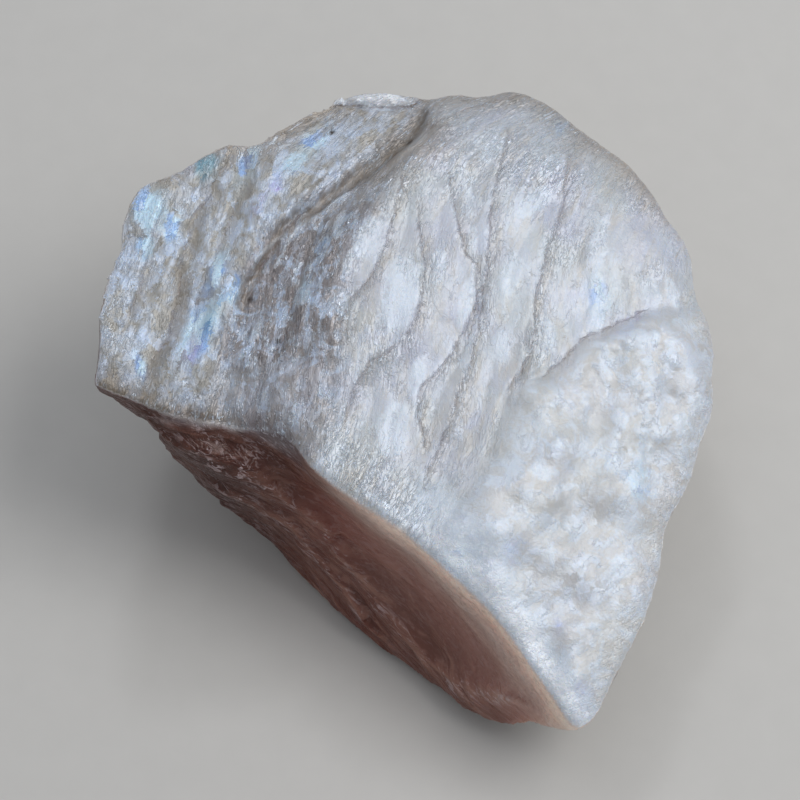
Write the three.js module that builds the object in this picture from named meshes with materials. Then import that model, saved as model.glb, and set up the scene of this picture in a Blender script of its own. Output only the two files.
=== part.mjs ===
// Rough moonstone: one broken lump of milky feldspar that lies on a small flat patch of its underside.
// Millimetres, +Z up. The origin is on the surface that the stone lies on, under the middle of its box.
//
// The stone is a wedge. Its top is one broad cleavage face that slopes down to the front right. On the
// left a lower plateau lies behind a groove, and a sugary shoulder starts at a lip on the right. Four
// closed loops run round the stone from the top down: the rim of the top face, a ledge on the sides,
// the heel where the sides turn under, and the outline of the flat foot.
import * as THREE from "three";
import { ImprovedNoise } from "three/addons/math/ImprovedNoise.js";

// Driving dimensions

const CELLS = 46; // grid cells along each of the four sides
const RIM_TO_LEDGE_ROWS = 4;
const LEDGE_TO_HEEL_ROWS = 4;
const HEEL_TO_FOOT_ROWS = 5;

// The cleavage face: height over the origin, its fall to the right and rise to the back, and its crown.
const FACE = { height: 20.6, fallRight: 0.21, riseBack: 0.24, crown: 1.1 };
// Share of the face, in from each side, over which it rolls down to the height of the rim there.
const ROLL = { front: 0.05, right: 0.1, back: 0.3, left: 0.12 };

const PLATEAU_DROP = 2.7;
const GROOVE = { depth: 0.8, width: 1.5 };
const SHARD = { rise: 0.6, width: 1.1 };
const LIP = { rise: 0.9, width: 1.8, valley: 0.4 };
const FLOW = { depth: 0.35, across: 3.8, along: 17 };
const SUGAR = { depth: 0.8, size: 3.1 };
const FRONT_HOLLOW = 0.8; // how far the front side sinks in between the rim and the ledge
// Broken edges of the cleavage layers on the other three sides.
const LAYERS = { depth: 1.5, thickness: 3.6, reach: 9 };
const LUMPS = [
  { depth: 0.5, size: 10 },
  { depth: 0.22, size: 4.5 },
];

// Outlines, as x, y, z. Each side starts at its own corner and ends where the next one starts:
// front from the west corner to the south, right to the east, back to the north, left to the west.

const RIM = {
  front: [
    [-25.9, -3.1, 22.9], [-24.3, -3.6, 22.5], [-22.1, -4.3, 21.9], [-19.9, -4.9, 21.3],
    [-17.0, -5.1, 20.3], [-15.2, -4.9, 19.4], [-12.7, -5.5, 19.6], [-10.6, -6.4, 20.1],
    [-9.0, -7.4, 20.3], [-8.1, -9.0, 20.1], [-5.9, -10.5, 19.3], [-3.4, -12.0, 18.4],
    [0.0, -13.9, 17.3], [2.5, -15.9, 16.3], [5.0, -17.9, 15.2], [6.9, -19.5, 14.5],
    [8.8, -21.6, 13.6], [10.5, -23.8, 12.7], [11.8, -25.8, 11.7], [13.1, -27.4, 10.8],
  ],
  right: [
    [14.1, -28.4, 9.8], [15.1, -28.6, 9.6], [16.8, -27.3, 9.9], [17.7, -25.4, 10.4],
    [19.2, -22.7, 10.7], [20.4, -20.3, 11.0], [21.5, -17.2, 11.5], [22.3, -14.9, 12.0],
    [22.7, -13.1, 12.3], [22.9, -11.6, 12.6], [24.5, -8.3, 13.0], [25.3, -6.9, 13.1],
    [26.3, -3.8, 13.7], [27.4, -0.6, 14.2], [27.4, 2.3, 14.9], [27.6, 3.9, 15.2],
    [27.5, 5.2, 15.6], [26.8, 6.4, 16.0], [25.9, 9.4, 16.8],
  ],
  back: [
    [25.8, 12.0, 17.4], [25.7, 13.9, 17.7], [24.8, 15.5, 18.3], [23.7, 16.5, 18.8],
    [22.8, 18.1, 19.4], [21.5, 19.9, 20.0], [20.3, 21.5, 20.5], [18.0, 23.1, 21.3],
    [15.7, 24.7, 21.9], [14.4, 25.8, 22.3], [13.1, 26.8, 22.6], [11.7, 27.3, 22.9],
    [10.1, 27.7, 23.1], [8.5, 27.3, 23.3], [7.2, 26.7, 23.5], [4.5, 26.6, 23.8],
    [3.2, 26.1, 23.8], [2.3, 26.1, 23.6], [1.3, 26.5, 23.7], [-2.2, 26.6, 24.4],
    [-3.6, 26.2, 24.6], [-4.9, 25.6, 24.8],
  ],
  left: [
    [-6.2, 25.3, 25.0], [-6.6, 24.3, 25.2], [-8.0, 23.9, 25.4], [-9.7, 22.7, 25.5],
    [-11.5, 21.6, 25.6], [-12.5, 20.5, 25.2], [-13.5, 20.1, 25.2], [-14.4, 20.1, 25.8],
    [-15.8, 19.6, 26.0], [-17.5, 18.3, 26.1], [-19.2, 16.9, 26.0], [-20.9, 16.0, 26.1],
    [-22.5, 15.0, 26.1], [-23.4, 13.6, 26.0], [-23.8, 12.2, 25.7], [-24.2, 11.3, 25.6],
    [-24.1, 10.0, 25.3], [-24.6, 8.3, 25.0], [-25.2, 6.8, 24.7], [-25.6, 4.5, 24.3],
    [-25.9, 2.7, 24.0], [-25.7, 0.9, 23.6],
  ],
};

const LEDGE = {
  front: [
    [-25.8, -2.4, 21.0], [-22.9, -3.8, 20.8], [-20.6, -5.1, 19.5], [-17.9, -6.3, 18.0],
    [-15.0, -7.5, 16.0], [-11.9, -8.3, 13.5], [-8.7, -9.5, 10.5], [-6.1, -11.3, 9.0],
    [-3.1, -13.9, 6.5], [0.0, -16.7, 5.0], [3.5, -19.9, 3.5], [6.9, -23.0, 4.0],
    [10.3, -25.4, 5.5], [12.5, -27.4, 8.0],
  ],
  right: [
    [14.3, -28.2, 8.3], [17.6, -25.0, 7.6], [19.6, -20.0, 8.0], [21.6, -13.5, 9.0],
    [24.4, -6.5, 9.6], [26.2, -0.5, 10.2], [26.6, 4.5, 11.0],
  ],
  back: [
    [25.2, 12.0, 13.0], [24.2, 17.2, 13.5], [18.8, 24.6, 14.5], [12.0, 29.4, 15.5],
    [5.0, 28.8, 17.0], [0.0, 29.5, 17.5],
  ],
  left: [
    [-6.0, 27.2, 18.5], [-12.2, 23.4, 18.5], [-18.6, 19.3, 18.0], [-24.2, 14.8, 18.6],
    [-25.0, 9.5, 19.0], [-26.2, 4.0, 19.5],
  ],
};

const HEEL = {
  front: [
    [-25.6, -2.1, 20.0], [-23.9, -2.7, 19.6], [-22.3, -3.1, 18.5], [-21.1, -3.5, 16.5],
    [-20.9, -4.1, 14.0], [-18.0, -6.1, 9.5], [-15.7, -5.9, 6.0], [-13.1, -6.4, 2.4],
    [-9.0, -10.2, 1.0], [-4.5, -14.7, 0.8], [-3.2, -15.5, 0.8], [-2.5, -16.7, 0.6],
    [0.0, -18.4, 0.8], [3.5, -21.1, 0.8], [8.6, -24.8, 2.8], [12.2, -27.3, 6.2],
  ],
  right: [
    [13.6, -27.2, 6.2], [15.8, -22.5, 4.6], [17.6, -16.0, 4.6], [20.4, -8.0, 5.0],
    [23.0, 0.0, 5.5], [24.0, 7.0, 6.5],
  ],
  back: [
    [23.6, 13.5, 6.8], [20.5, 20.5, 6.0], [12.5, 27.2, 6.5], [4.0, 27.0, 8.0],
  ],
  left: [
    [-6.0, 24.8, 9.5], [-14.0, 19.5, 9.5], [-21.5, 14.5, 11.5], [-23.4, 8.0, 13.5],
    [-24.6, 2.5, 16.5],
  ],
};

const FOOT = {
  front: [
    [-12.4, -2.4, 0.0], [-10.4, -6.6, 0.0], [-4.4, -12.4, 0.0], [1.5, -16.6, 0.0],
    [5.5, -18.6, 0.0],
  ],
  right: [[9.0, -17.0, 0.0], [13.0, -10.5, 0.0], [15.0, -2.0, 0.0], [15.5, 5.0, 0.0]],
  back: [[14.5, 11.0, 0.0], [9.5, 16.5, 0.0], [2.0, 16.0, 0.0]],
  left: [[-4.5, 13.5, 0.0], [-9.6, 8.5, 0.0], [-12.0, 3.0, 0.0]],
};

// Lines drawn on the top face, as x, y.

const GROOVE_LINE = [
  [2.3, 27.0], [0.8, 21.8], [-3.5, 18.2], [-6.1, 15.6], [-10.4, 11.2], [-12.9, 6.0],
  [-14.3, 1.7], [-15.2, -2.1], [-14.6, -7.0],
];
const CREST_LINE = [
  [4.6, 27.0], [3.5, 22.6], [1.3, 19.4], [-0.2, 16.0], [-4.1, 8.4], [-5.9, 3.0],
  [-8.2, -3.4], [-9.6, -8.5],
];
const SHARD_LINE = [[-6.5, 25.4], [-3.1, 25.7], [0.9, 26.0]];
const LIP_LINE = [
  [27.0, 9.0], [21.0, 6.9], [16.2, 4.2], [13.9, 1.8], [12.5, 0.4], [10.4, -0.3],
  [9.0, -1.6], [7.7, -6.3], [3.8, -12.6], [1.6, -15.5],
];
// Valleys between the ridges that flow over the face, and the folds of the plateau.
const VALLEYS = [
  { depth: 0.6, width: 1.2, line: [[1.7, 21.5], [3.6, 22.7], [5.5, 24.1], [7.3, 25.2], [10.3, 26.6]] },
  { depth: 0.6, width: 1.3, line: [[0.0, 16.4], [-0.5, 14.1], [-1.3, 10.9], [-4.3, 5.2], [-5.3, 2.5]] },
  { depth: 0.5, width: 1.3, line: [[1.4, 14.1], [2.0, 9.1], [1.5, 4.8], [-2.6, 0.1], [-4.7, -4.6]] },
  { depth: 0.5, width: 1.4, line: [[4.2, 16.6], [5.4, 10.4], [6.4, 6.1], [1.5, -1.5], [1.8, -6.2]] },
  { depth: 0.4, width: 1.4, line: [[9.3, 21.8], [7.9, 15.3], [6.7, 4.4], [2.1, -9.1], [1.0, -11.8]] },
  { depth: 0.4, width: 1.5, line: [[14.6, 19.8], [14.1, 16.0], [11.5, 6.7], [9.4, -1.0]] },
  { depth: 0.5, width: 1.2, line: [[-7.6, 12.1], [-9.5, 5.6], [-9.9, 2.0], [-12.7, -3.1]] },
  { depth: 0.5, width: 1.2, line: [[-15.3, 17.8], [-17.8, 13.0], [-19.1, 6.1], [-21.6, -1.6]] },
  { depth: 0.4, width: 1.1, line: [[-13.5, 19.8], [-14.6, 13.4], [-16.8, 7.7], [-18.0, 1.4]] },
  { depth: 0.35, width: 1.1, line: [[-20.4, 13.6], [-22.3, 5.8], [-23.5, 3.0]] },
];

const noise = new ImprovedNoise();
const { lerp, smoothstep, clamp } = THREE.MathUtils;

// Signed distance from (x, y) to a line of points: positive on the left of its direction of travel.
function besideLine(line, x, y) {
  let nearest = Infinity;
  let side = 1;
  for (let i = 0; i + 1 < line.length; i++) {
    const [ax, ay] = line[i];
    const [bx, by] = line[i + 1];
    const [dx, dy] = [bx - ax, by - ay];
    const share = clamp(((x - ax) * dx + (y - ay) * dy) / (dx * dx + dy * dy), 0, 1);
    const distance = Math.hypot(x - ax - share * dx, y - ay - share * dy);
    if (distance < nearest) {
      nearest = distance;
      side = Math.sign((y - ay) * dx - (x - ax) * dy) || 1;
    }
  }
  return side * nearest;
}

function bump(distance, width) {
  return Math.exp(-((distance / width) ** 2));
}

// The plateau, its groove, and the ramp that climbs from the groove to the crest.
function plateauRelief(x, y) {
  const fromGroove = besideLine(GROOVE_LINE, x, y);
  const fromCrest = besideLine(CREST_LINE, x, y);
  const onRamp = fromGroove > 0 && fromCrest < 0;
  const climbed = onRamp ? fromGroove / (fromGroove - fromCrest) : Number(fromCrest >= 0);
  return PLATEAU_DROP * (smoothstep(climbed, 0, 1) - 1) - GROOVE.depth * bump(fromGroove, GROOVE.width);
}

// The lip with a shallow valley before it, and the sugary lumps of the shoulder behind it.
function shoulderRelief(x, y) {
  const past = besideLine(LIP_LINE, x, y);
  const raised = LIP.rise * smoothstep(past, -0.3, LIP.width) * (1 - 0.6 * smoothstep(past, LIP.width, 14));
  const valley = LIP.valley * bump(past + 0.8, LIP.width);
  const sugar = SUGAR.depth * smoothstep(past, 0, 3) * noise.noise(x / SUGAR.size, y / SUGAR.size, 7.3);
  return raised - valley + sugar;
}

// Long soft ridges that run up the face and lean over to the right towards the back.
function flowRelief(x, y) {
  const bend = Math.max(0, y - 6) * 0.55;
  const across = (-x + 0.25 * y + bend) / FLOW.across;
  const along = (y + 0.8 * x) / FLOW.along;
  const ridges = FLOW.depth * noise.noise(across + 0.4 * noise.noise(x / 9, y / 9, 2.1), along, 4.7);
  const cut = ({ line, depth, width }) => depth * bump(besideLine(line, x, y), width);
  return VALLEYS.reduce((height, valley) => height - cut(valley), ridges);
}

function faceHeight(x, y) {
  const plane = FACE.height - FACE.fallRight * x + FACE.riseBack * y;
  return plane + plateauRelief(x, y) + shoulderRelief(x, y) + flowRelief(x, y);
}

// One side of a loop as evenly spaced points, its last one left to the next side.
function sidePoints(points, next, rounded) {
  const corners = [...points, next].map((p) => new THREE.Vector3(...p));
  if (rounded)
    return new THREE.CatmullRomCurve3(corners, false, "centripetal").getSpacedPoints(CELLS).slice(0, CELLS);
  const path = new THREE.CurvePath();
  for (let i = 0; i + 1 < corners.length; i++) path.add(new THREE.LineCurve3(corners[i], corners[i + 1]));
  return path.getSpacedPoints(CELLS).slice(0, CELLS);
}

// A closed loop as 4 * CELLS points, anticlockwise from the west corner as seen from above.
function loopPoints({ front, right, back, left }, rounded) {
  return [
    ...sidePoints(front, right[0], rounded),
    ...sidePoints(right, back[0], rounded),
    ...sidePoints(back, left[0], rounded),
    ...sidePoints(left, front[0], rounded),
  ];
}

// Where grid point (i, j) of the top face lies: a patch spanned by the rim's four sides.
function facePoint(rim, i, j) {
  const [s, t] = [i / CELLS, j / CELLS];
  const at = (k) => rim[k % rim.length];
  const [front, right, back, left] = [at(i), at(CELLS + j), at(3 * CELLS - i), at(4 * CELLS - j)];
  const [west, south, east, north] = [at(0), at(CELLS), at(2 * CELLS), at(3 * CELLS)];
  const axis = (k) =>
    lerp(front[k], back[k], t) + lerp(left[k], right[k], s) -
    lerp(lerp(west[k], south[k], s), lerp(north[k], east[k], s), t);
  const point = new THREE.Vector3(axis("x"), axis("y"), axis("z"));
  const inside = Math.min(
    smoothstep(t, 0, ROLL.front),
    smoothstep(1 - s, 0, ROLL.right),
    smoothstep(1 - t, 0, ROLL.back),
    smoothstep(s, 0, ROLL.left),
  );
  const crown = FACE.crown * Math.sin(Math.PI * s) * Math.sin(Math.PI * t);
  const shard = SHARD.rise * bump(besideLine(SHARD_LINE, point.x, point.y), SHARD.width);
  point.z = lerp(point.z, faceHeight(point.x, point.y), inside) + crown + shard * smoothstep(1 - t, 0, 0.05);
  return point;
}

// Adds vertices and quads to one shared list.
class Skin {
  positions = [];
  faces = [];

  add(point) {
    this.positions.push(point.x, point.y, point.z);
    return this.positions.length / 3 - 1;
  }

  distance(a, b) {
    const gap = (axis) => this.positions[3 * a + axis] - this.positions[3 * b + axis];
    return Math.hypot(gap(0), gap(1), gap(2));
  }

  // Two triangles, parted along the quad's shorter diagonal, so that they follow ridges and steps.
  quad(a, b, c, d) {
    if (this.distance(a, c) < this.distance(b, d)) this.faces.push(a, b, c, a, c, d);
    else this.faces.push(b, c, d, b, d, a);
  }

  // A band of quads from one ring of vertex numbers down to the next.
  band(upper, lower) {
    upper.forEach((_, k) => {
      const next = (k + 1) % upper.length;
      this.quad(upper[k], lower[k], lower[next], upper[next]);
    });
  }
}

function addTopFace(skin, rim) {
  const numbers = [];
  for (let j = 0; j <= CELLS; j++) {
    numbers.push([]);
    for (let i = 0; i <= CELLS; i++) numbers[j].push(skin.add(facePoint(rim, i, j)));
  }
  for (let j = 0; j < CELLS; j++)
    for (let i = 0; i < CELLS; i++)
      skin.quad(numbers[j][i], numbers[j][i + 1], numbers[j + 1][i + 1], numbers[j + 1][i]);
  const span = [...Array(CELLS).keys()];
  return [
    ...span.map((k) => numbers[0][k]),
    ...span.map((k) => numbers[k][CELLS]),
    ...span.map((k) => numbers[CELLS][CELLS - k]),
    ...span.map((k) => numbers[CELLS - k][0]),
  ];
}

// How far in from its outline the edge of the cleavage layer at this point is broken back.
function layerSetback({ x, y, z }) {
  const depthBelowFace = (FACE.height - FACE.fallRight * x + FACE.riseBack * y - z) / LAYERS.thickness;
  const layer = Math.floor(depthBelowFace);
  const edge = smoothstep(depthBelowFace - layer, 0, 0.35);
  const broken = (k) => noise.noise(x / LAYERS.reach, y / LAYERS.reach, 5.3 * k) + 0.5;
  return LAYERS.depth * clamp(lerp(broken(layer - 1), broken(layer), edge), 0, 1);
}

// Rows of points from one loop down to the next. Returns the numbers of the last row.
function addSide(skin, upperNumbers, upper, lower, rows, hollow = 0) {
  let above = upperNumbers;
  for (let row = 1; row <= rows; row++) {
    const share = row / rows;
    const ring = upper.map((point, k) => {
      const between = point.clone().lerp(lower[k], share);
      const onFront = Math.max(0, Math.sin((Math.PI * k) / CELLS)) * Number(k < CELLS);
      const elsewhere = 1 - smoothstep(Math.abs(k - 2.5 * CELLS), 1.3 * CELLS, 1.5 * CELLS);
      const inward = new THREE.Vector3(-between.x, -between.y, 0).normalize();
      const free = smoothstep(between.z, 0, 5);
      between.addScaledVector(inward, free * elsewhere * layerSetback(between));
      const sunk = hollow * onFront * Math.sin(Math.PI * share);
      return skin.add(between.add(new THREE.Vector3(sunk, sunk, 0)));
    });
    skin.band(above, ring);
    above = ring;
  }
  return above;
}

// The flat foot: one ring inside its outline, then a fan to its middle.
function addFoot(skin, outlineNumbers, outline) {
  const middle = new THREE.Vector3();
  outline.forEach((point) => middle.addScaledVector(point, 1 / outline.length));
  const ring = outline.map((point) => skin.add(point.clone().lerp(middle, 0.5)));
  skin.band(outlineNumbers, ring);
  const centre = skin.add(middle);
  ring.forEach((number, k) => skin.faces.push(number, centre, ring[(k + 1) % ring.length]));
}

// Pushes every point that is clear of the foot in or out by the lumps.
function addLumps(geometry) {
  geometry.computeVertexNormals();
  const { position, normal } = geometry.attributes;
  const point = new THREE.Vector3();
  const outward = new THREE.Vector3();
  for (let k = 0; k < position.count; k++) {
    point.fromBufferAttribute(position, k);
    outward.fromBufferAttribute(normal, k);
    const free = smoothstep(point.z, 0, 3);
    for (const { depth, size } of LUMPS) {
      const { x, y, z } = point.clone().divideScalar(size);
      point.addScaledVector(outward, free * depth * noise.noise(x, y, z));
    }
    position.setXYZ(k, ...point);
  }
}

function stoneGeometry() {
  const skin = new Skin();
  const rim = loopPoints(RIM, true);
  const [ledge, heel, foot] = [LEDGE, HEEL, FOOT].map((loop) => loopPoints(loop, false));
  const rimNumbers = addTopFace(skin, rim);
  const ledgeNumbers = addSide(skin, rimNumbers, rim, ledge, RIM_TO_LEDGE_ROWS, FRONT_HOLLOW);
  const heelNumbers = addSide(skin, ledgeNumbers, ledge, heel, LEDGE_TO_HEEL_ROWS);
  const footNumbers = addSide(skin, heelNumbers, heel, foot, HEEL_TO_FOOT_ROWS);
  addFoot(skin, footNumbers, foot);

  const geometry = new THREE.BufferGeometry();
  geometry.setAttribute("position", new THREE.Float32BufferAttribute(skin.positions, 3));
  geometry.setIndex(skin.faces);
  addLumps(geometry);
  geometry.computeBoundingBox();
  const middle = geometry.boundingBox.getCenter(new THREE.Vector3());
  geometry.translate(-middle.x, -middle.y, 0);
  geometry.computeVertexNormals();
  return geometry;
}

const pearlyWhite = new THREE.MeshStandardMaterial({ color: 0xc6c8d0, roughness: 0.42, metalness: 0 });
const moonstone = new THREE.Mesh(stoneGeometry(), pearlyWhite);
moonstone.name = "moonstone";

const specimen = new THREE.Group();
specimen.add(moonstone);

export default specimen;
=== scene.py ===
"""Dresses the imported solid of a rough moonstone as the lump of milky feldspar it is.

The solid has the stone's size and main forms. The stone's own mesh is that solid in an even, fine skin,
with the relief that the solid is too coarse for: pearly plates, the satin slope, sugary grains, the striped
broken front and the stepped sides. The relief leaves measures of itself on the skin, such as how near a crack
is, and the material is built from them.

Lengths in the functions are millimetres, and Blender's are metres.
"""

import math
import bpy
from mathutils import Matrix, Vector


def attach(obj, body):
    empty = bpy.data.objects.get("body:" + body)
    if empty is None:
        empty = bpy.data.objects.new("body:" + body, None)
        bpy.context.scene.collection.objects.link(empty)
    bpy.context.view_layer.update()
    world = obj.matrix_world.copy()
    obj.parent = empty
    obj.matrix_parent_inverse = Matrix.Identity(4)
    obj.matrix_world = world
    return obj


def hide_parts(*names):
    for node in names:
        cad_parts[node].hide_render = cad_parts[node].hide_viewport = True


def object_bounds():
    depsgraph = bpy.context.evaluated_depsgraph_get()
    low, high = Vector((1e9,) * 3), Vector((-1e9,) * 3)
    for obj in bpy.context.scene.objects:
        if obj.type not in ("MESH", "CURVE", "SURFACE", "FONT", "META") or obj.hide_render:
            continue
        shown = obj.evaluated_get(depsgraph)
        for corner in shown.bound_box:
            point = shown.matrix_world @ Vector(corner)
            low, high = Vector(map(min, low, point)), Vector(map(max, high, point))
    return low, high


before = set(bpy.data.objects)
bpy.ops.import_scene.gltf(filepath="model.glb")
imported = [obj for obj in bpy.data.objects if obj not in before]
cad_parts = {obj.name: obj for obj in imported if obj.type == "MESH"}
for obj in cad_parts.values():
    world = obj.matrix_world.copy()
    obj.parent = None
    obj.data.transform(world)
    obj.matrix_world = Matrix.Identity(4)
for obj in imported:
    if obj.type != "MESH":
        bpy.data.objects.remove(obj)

from types import SimpleNamespace

import bmesh
import bpy
import numpy as np
from mathutils import Vector, kdtree

bl_info = {
    "name": "Rough moonstone",
    "version": (1, 0, 0),
    "blender": (4, 5, 0),
    "location": "3D View > Sidebar > Moonstone",
    "description": "Builds a rough lump of milky feldspar round its packed solid, and a plain stage for it",
    "category": "Mesh",
}

MM = 0.001
SOLID = "moonstone"
SOLID_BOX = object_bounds()


def tint(red, green, blue):
    """A screen colour, 0 to 255, as Blender's linear colour."""
    def linear(value):
        share = value / 255
        return share / 12.92 if share <= 0.04045 else ((share + 0.055) / 1.055) ** 2.4
    return (linear(red), linear(green), linear(blue))


# ---------------------------------------------------------------- the user's settings


def length_setting(name, description, millimetres, **limits):
    return bpy.props.FloatProperty(
        name=name, description=description, default=millimetres * MM, unit="LENGTH", **limits)


def colour_setting(name, description, *shades):
    return bpy.props.FloatVectorProperty(
        name=name, description=description, subtype="COLOR", default=tint(*shades), min=0, max=1)


def power_setting(name, description, watts):
    return bpy.props.FloatProperty(name=name, description=description, default=watts, unit="POWER")


class StoneSettings(bpy.types.PropertyGroup):
    """Sizes of the stone's relief."""

    grain: length_setting("Skin grain", "Width of the skin's quads", 0.30, min=0.2 * MM)
    flow_height: length_setting("Plates", "Height of the face's plates over their creases", 0.14)
    satin_height: length_setting("Satin folds", "Height of the folds on the slope", 0.16)
    sugar_height: length_setting("Sugary grains", "Height of the grains on the shoulder", 0.10)
    stripe_height: length_setting("Front stripes", "Height of the stripes on the broken front", 0.18)
    step_height: length_setting("Side steps", "Depth of the steps on the broken sides", 0.40)


class ColourSettings(bpy.types.PropertyGroup):
    """Colours of the stone."""

    milk: colour_setting("Milk", "The pearly face", 198, 206, 215)
    # Also used for painted highlights and painted glints.
    plate: colour_setting("Plate", "Its brightest plates", 212, 223, 237)
    # Painted highlight on the rim's edge and, over their pale stone, on the shard's flakes.
    frost: colour_setting("Frost", "The rim's edge and the shard's flakes", 240, 244, 252)
    cream: colour_setting("Cream", "Dull patches of the face", 198, 196, 192)
    # The cracks' own colour, also used for painted shade in creases, beside cracks and along the rims.
    crease: colour_setting("Crease", "Cracks between the plates", 156, 147, 138)
    # On the slope these flakes are partly painted glints.
    opal: colour_setting("Opal", "Flakes of the plateau and the slope", 198, 216, 243)
    lilac: colour_setting("Lilac", "Faint clouds", 199, 205, 221)
    # Ground of the plateau: partly its own grey, partly painted shade for the sheen it catches less than the
    # face.
    ash: colour_setting("Ash", "Ground of the plateau", 160, 158, 153)
    # Ground of the satin slope: partly its own grey, partly painted shade, as the slope faces away from the
    # light.
    slate: colour_setting("Slate", "Ground of the satin slope", 144, 137, 138)
    # Smooth troughs, partly their own colour and partly painted shade in them, and the hem along the left of
    # the front rim.
    olive: colour_setting("Olive", "Smooth troughs", 118, 106, 92)
    # Painted glints: fine bright slivers on the front.
    glint: colour_setting("Glint", "Fine bright slivers on the front", 224, 206, 210)
    glow: colour_setting("Glow", "Middle of a sheen", 208, 238, 255)
    sky: colour_setting("Sky", "Blue sheen", 146, 188, 246)
    teal: colour_setting("Teal", "Green-blue sheen", 84, 136, 158)
    violet: colour_setting("Violet", "Violet sheen", 180, 178, 230)
    # Painted glow: light through the thin rim, painted on the strip under it.
    tan: colour_setting("Tan", "The glowing strip under the rim", 252, 230, 218)
    # The front's brown stone, darkened further as painted shade because the front faces away from the light.
    umber: colour_setting("Umber", "The dark broken front", 104, 52, 38)
    # Paler stripes of the front, and the painted highlight on its ridge crests.
    mauve: colour_setting("Mauve", "Paler stripes of the front", 150, 106, 92)
    # Painted shade where the face rolls over towards the front, brownish like the front.
    roll_shade: colour_setting("Dusk", "The face where it rolls over the front", 92, 62, 56)
    wine: colour_setting("Wine", "The hollow of the front", 140, 54, 34)
    buff: colour_setting("Buff", "The other broken sides", 176, 168, 162)
    speck: colour_setting("Speck", "Dark specks", 60, 48, 40)


class StageSettings(bpy.types.PropertyGroup):
    """The floor, the lights and the camera."""

    floor: colour_setting("Floor", "Its colour", 206, 205, 203)
    key_watts: power_setting("Key light", "Power of the light at the right", 0.98)
    fill_watts: power_setting("Fill light", "Power of the large light over the stone", 0.35)
    spark_watts: power_setting("Spark light", "Power of the small light behind the stone", 0.22)
    daylight: bpy.props.FloatProperty(
        name="Room light", description="Brightness of the room around the stage", default=0.33, min=0)
    lens: bpy.props.FloatProperty(
        name="Lens", description="Focal length", default=120.0, unit="CAMERA")
    elevation: bpy.props.FloatProperty(
        name="Elevation", description="Height of the view over the floor", default=math.radians(60),
        subtype="ANGLE")
    view_width: length_setting("View width", "What the picture spans at the stone", 70.0)


# ---------------------------------------------------------------- noise on arrays of points


class Grain:
    """Seeded noise for arrays of points, whose grain is one unit of their coordinates."""

    def __init__(self, seed):
        random = np.random.default_rng(seed)
        order = random.permutation(256)
        self.order = np.concatenate([order, order])
        slopes = random.normal(size=(256, 3))
        self.slopes = slopes / np.linalg.norm(slopes, axis=1)[:, None]
        self.places = random.random((256, 3))

    def number(self, cell):
        """A number from 0 to 255 for each lattice cell."""
        x, y, z = (cell[:, k] & 255 for k in range(3))
        return self.order[(self.order[(self.order[x] + y) & 255] + z) & 255]

    def soft(self, points):
        """Smooth noise, mostly between -0.5 and 0.5."""
        cell = np.floor(points).astype(int)
        inside = points - cell
        ease = inside ** 3 * (inside * (inside * 6 - 15) + 10)
        total = np.zeros(len(points))
        for corner in np.ndindex(2, 2, 2):
            slope = self.slopes[self.number(cell + corner)]
            weight = np.prod(np.where(corner, ease, 1 - ease), axis=1)
            total += weight * np.einsum("ij,ij->i", slope, inside - corner)
        return total

    def rough(self, points, octaves=3):
        """Smooth noise with finer noise on it."""
        return sum(self.soft(points * 2 ** k + 17.0 * k) / 2 ** k for k in range(octaves))

    def cells(self, points):
        """Cells round scattered seeds: room to the next cell, offset from the seed, and the seed's number."""
        cell = np.floor(points).astype(int)
        nearest = np.full(len(points), 9.0)
        second = np.full(len(points), 9.0)
        offset = np.zeros_like(points)
        number = np.zeros(len(points), int)
        for step in np.ndindex(3, 3, 3):
            around = cell + step - 1
            drawn = self.number(around)
            away = points - (around + self.places[drawn])
            distance = np.linalg.norm(away, axis=1)
            closer = distance < nearest
            second = np.where(closer, nearest, np.minimum(second, distance))
            nearest = np.where(closer, distance, nearest)
            offset = np.where(closer[:, None], away, offset)
            number = np.where(closer, drawn, number)
        return second - nearest, offset, number

    def facets(self, points):
        """Height of cells that each lean their own way, and the room to the next cell."""
        seam, offset, number = self.cells(points)
        return ((self.places[number] - 0.5) * offset).sum(axis=1), seam

    def wobble(self, points, apart, count=3):
        """Smooth noise in two or three directions, each read this far from the last."""
        return np.stack([self.soft(points + apart * k) for k in range(count)], axis=1)


def ramp(values, low, high):
    """0 below low, 1 above high and smooth between. It falls if low is above high."""
    share = np.clip((values - low) / (high - low), 0, 1)
    return share * share * (3 - 2 * share)


def bump(values, width):
    """1 at zero, and less to both sides of it, about a third of it at this width."""
    return np.exp(-((values / width) ** 2))


def beside(points, line):
    """Signed distance of points to a line drawn on the face, positive on the left of its way."""
    nearest = np.full(len(points), np.inf)
    side = np.ones(len(points))
    for start, end in zip(line, line[1:]):
        start = np.array(start)
        along = np.array(end) - start
        away = points[:, :2] - start
        share = np.clip(away @ along / (along @ along), 0, 1)
        distance = np.linalg.norm(away - share[:, None] * along, axis=1)
        turn = along[0] * away[:, 1] - along[1] * away[:, 0]
        side = np.where(distance < nearest, np.where(turn < 0, -1.0, 1.0), side)
        nearest = np.minimum(nearest, distance)
    return side * nearest


# ---------------------------------------------------------------- the stone's map, in millimetres

# The cleavage face: its height over the origin, its fall to the right and its rise to the back.
FACE_HEIGHT = 20.46
FALL_RIGHT = 0.21
RISE_BACK = 0.24
FACE_NORMAL = np.array([FALL_RIGHT, -RISE_BACK, 1.0]) / math.sqrt(1 + FALL_RIGHT ** 2 + RISE_BACK ** 2)
# The broken front: the way it faces, and the way along it from the left to the right.
FRONT_NORMAL = np.array([-0.61, -0.77, 0.2])
ALONG_FRONT = np.array([0.74, -0.67, 0.0])

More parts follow.
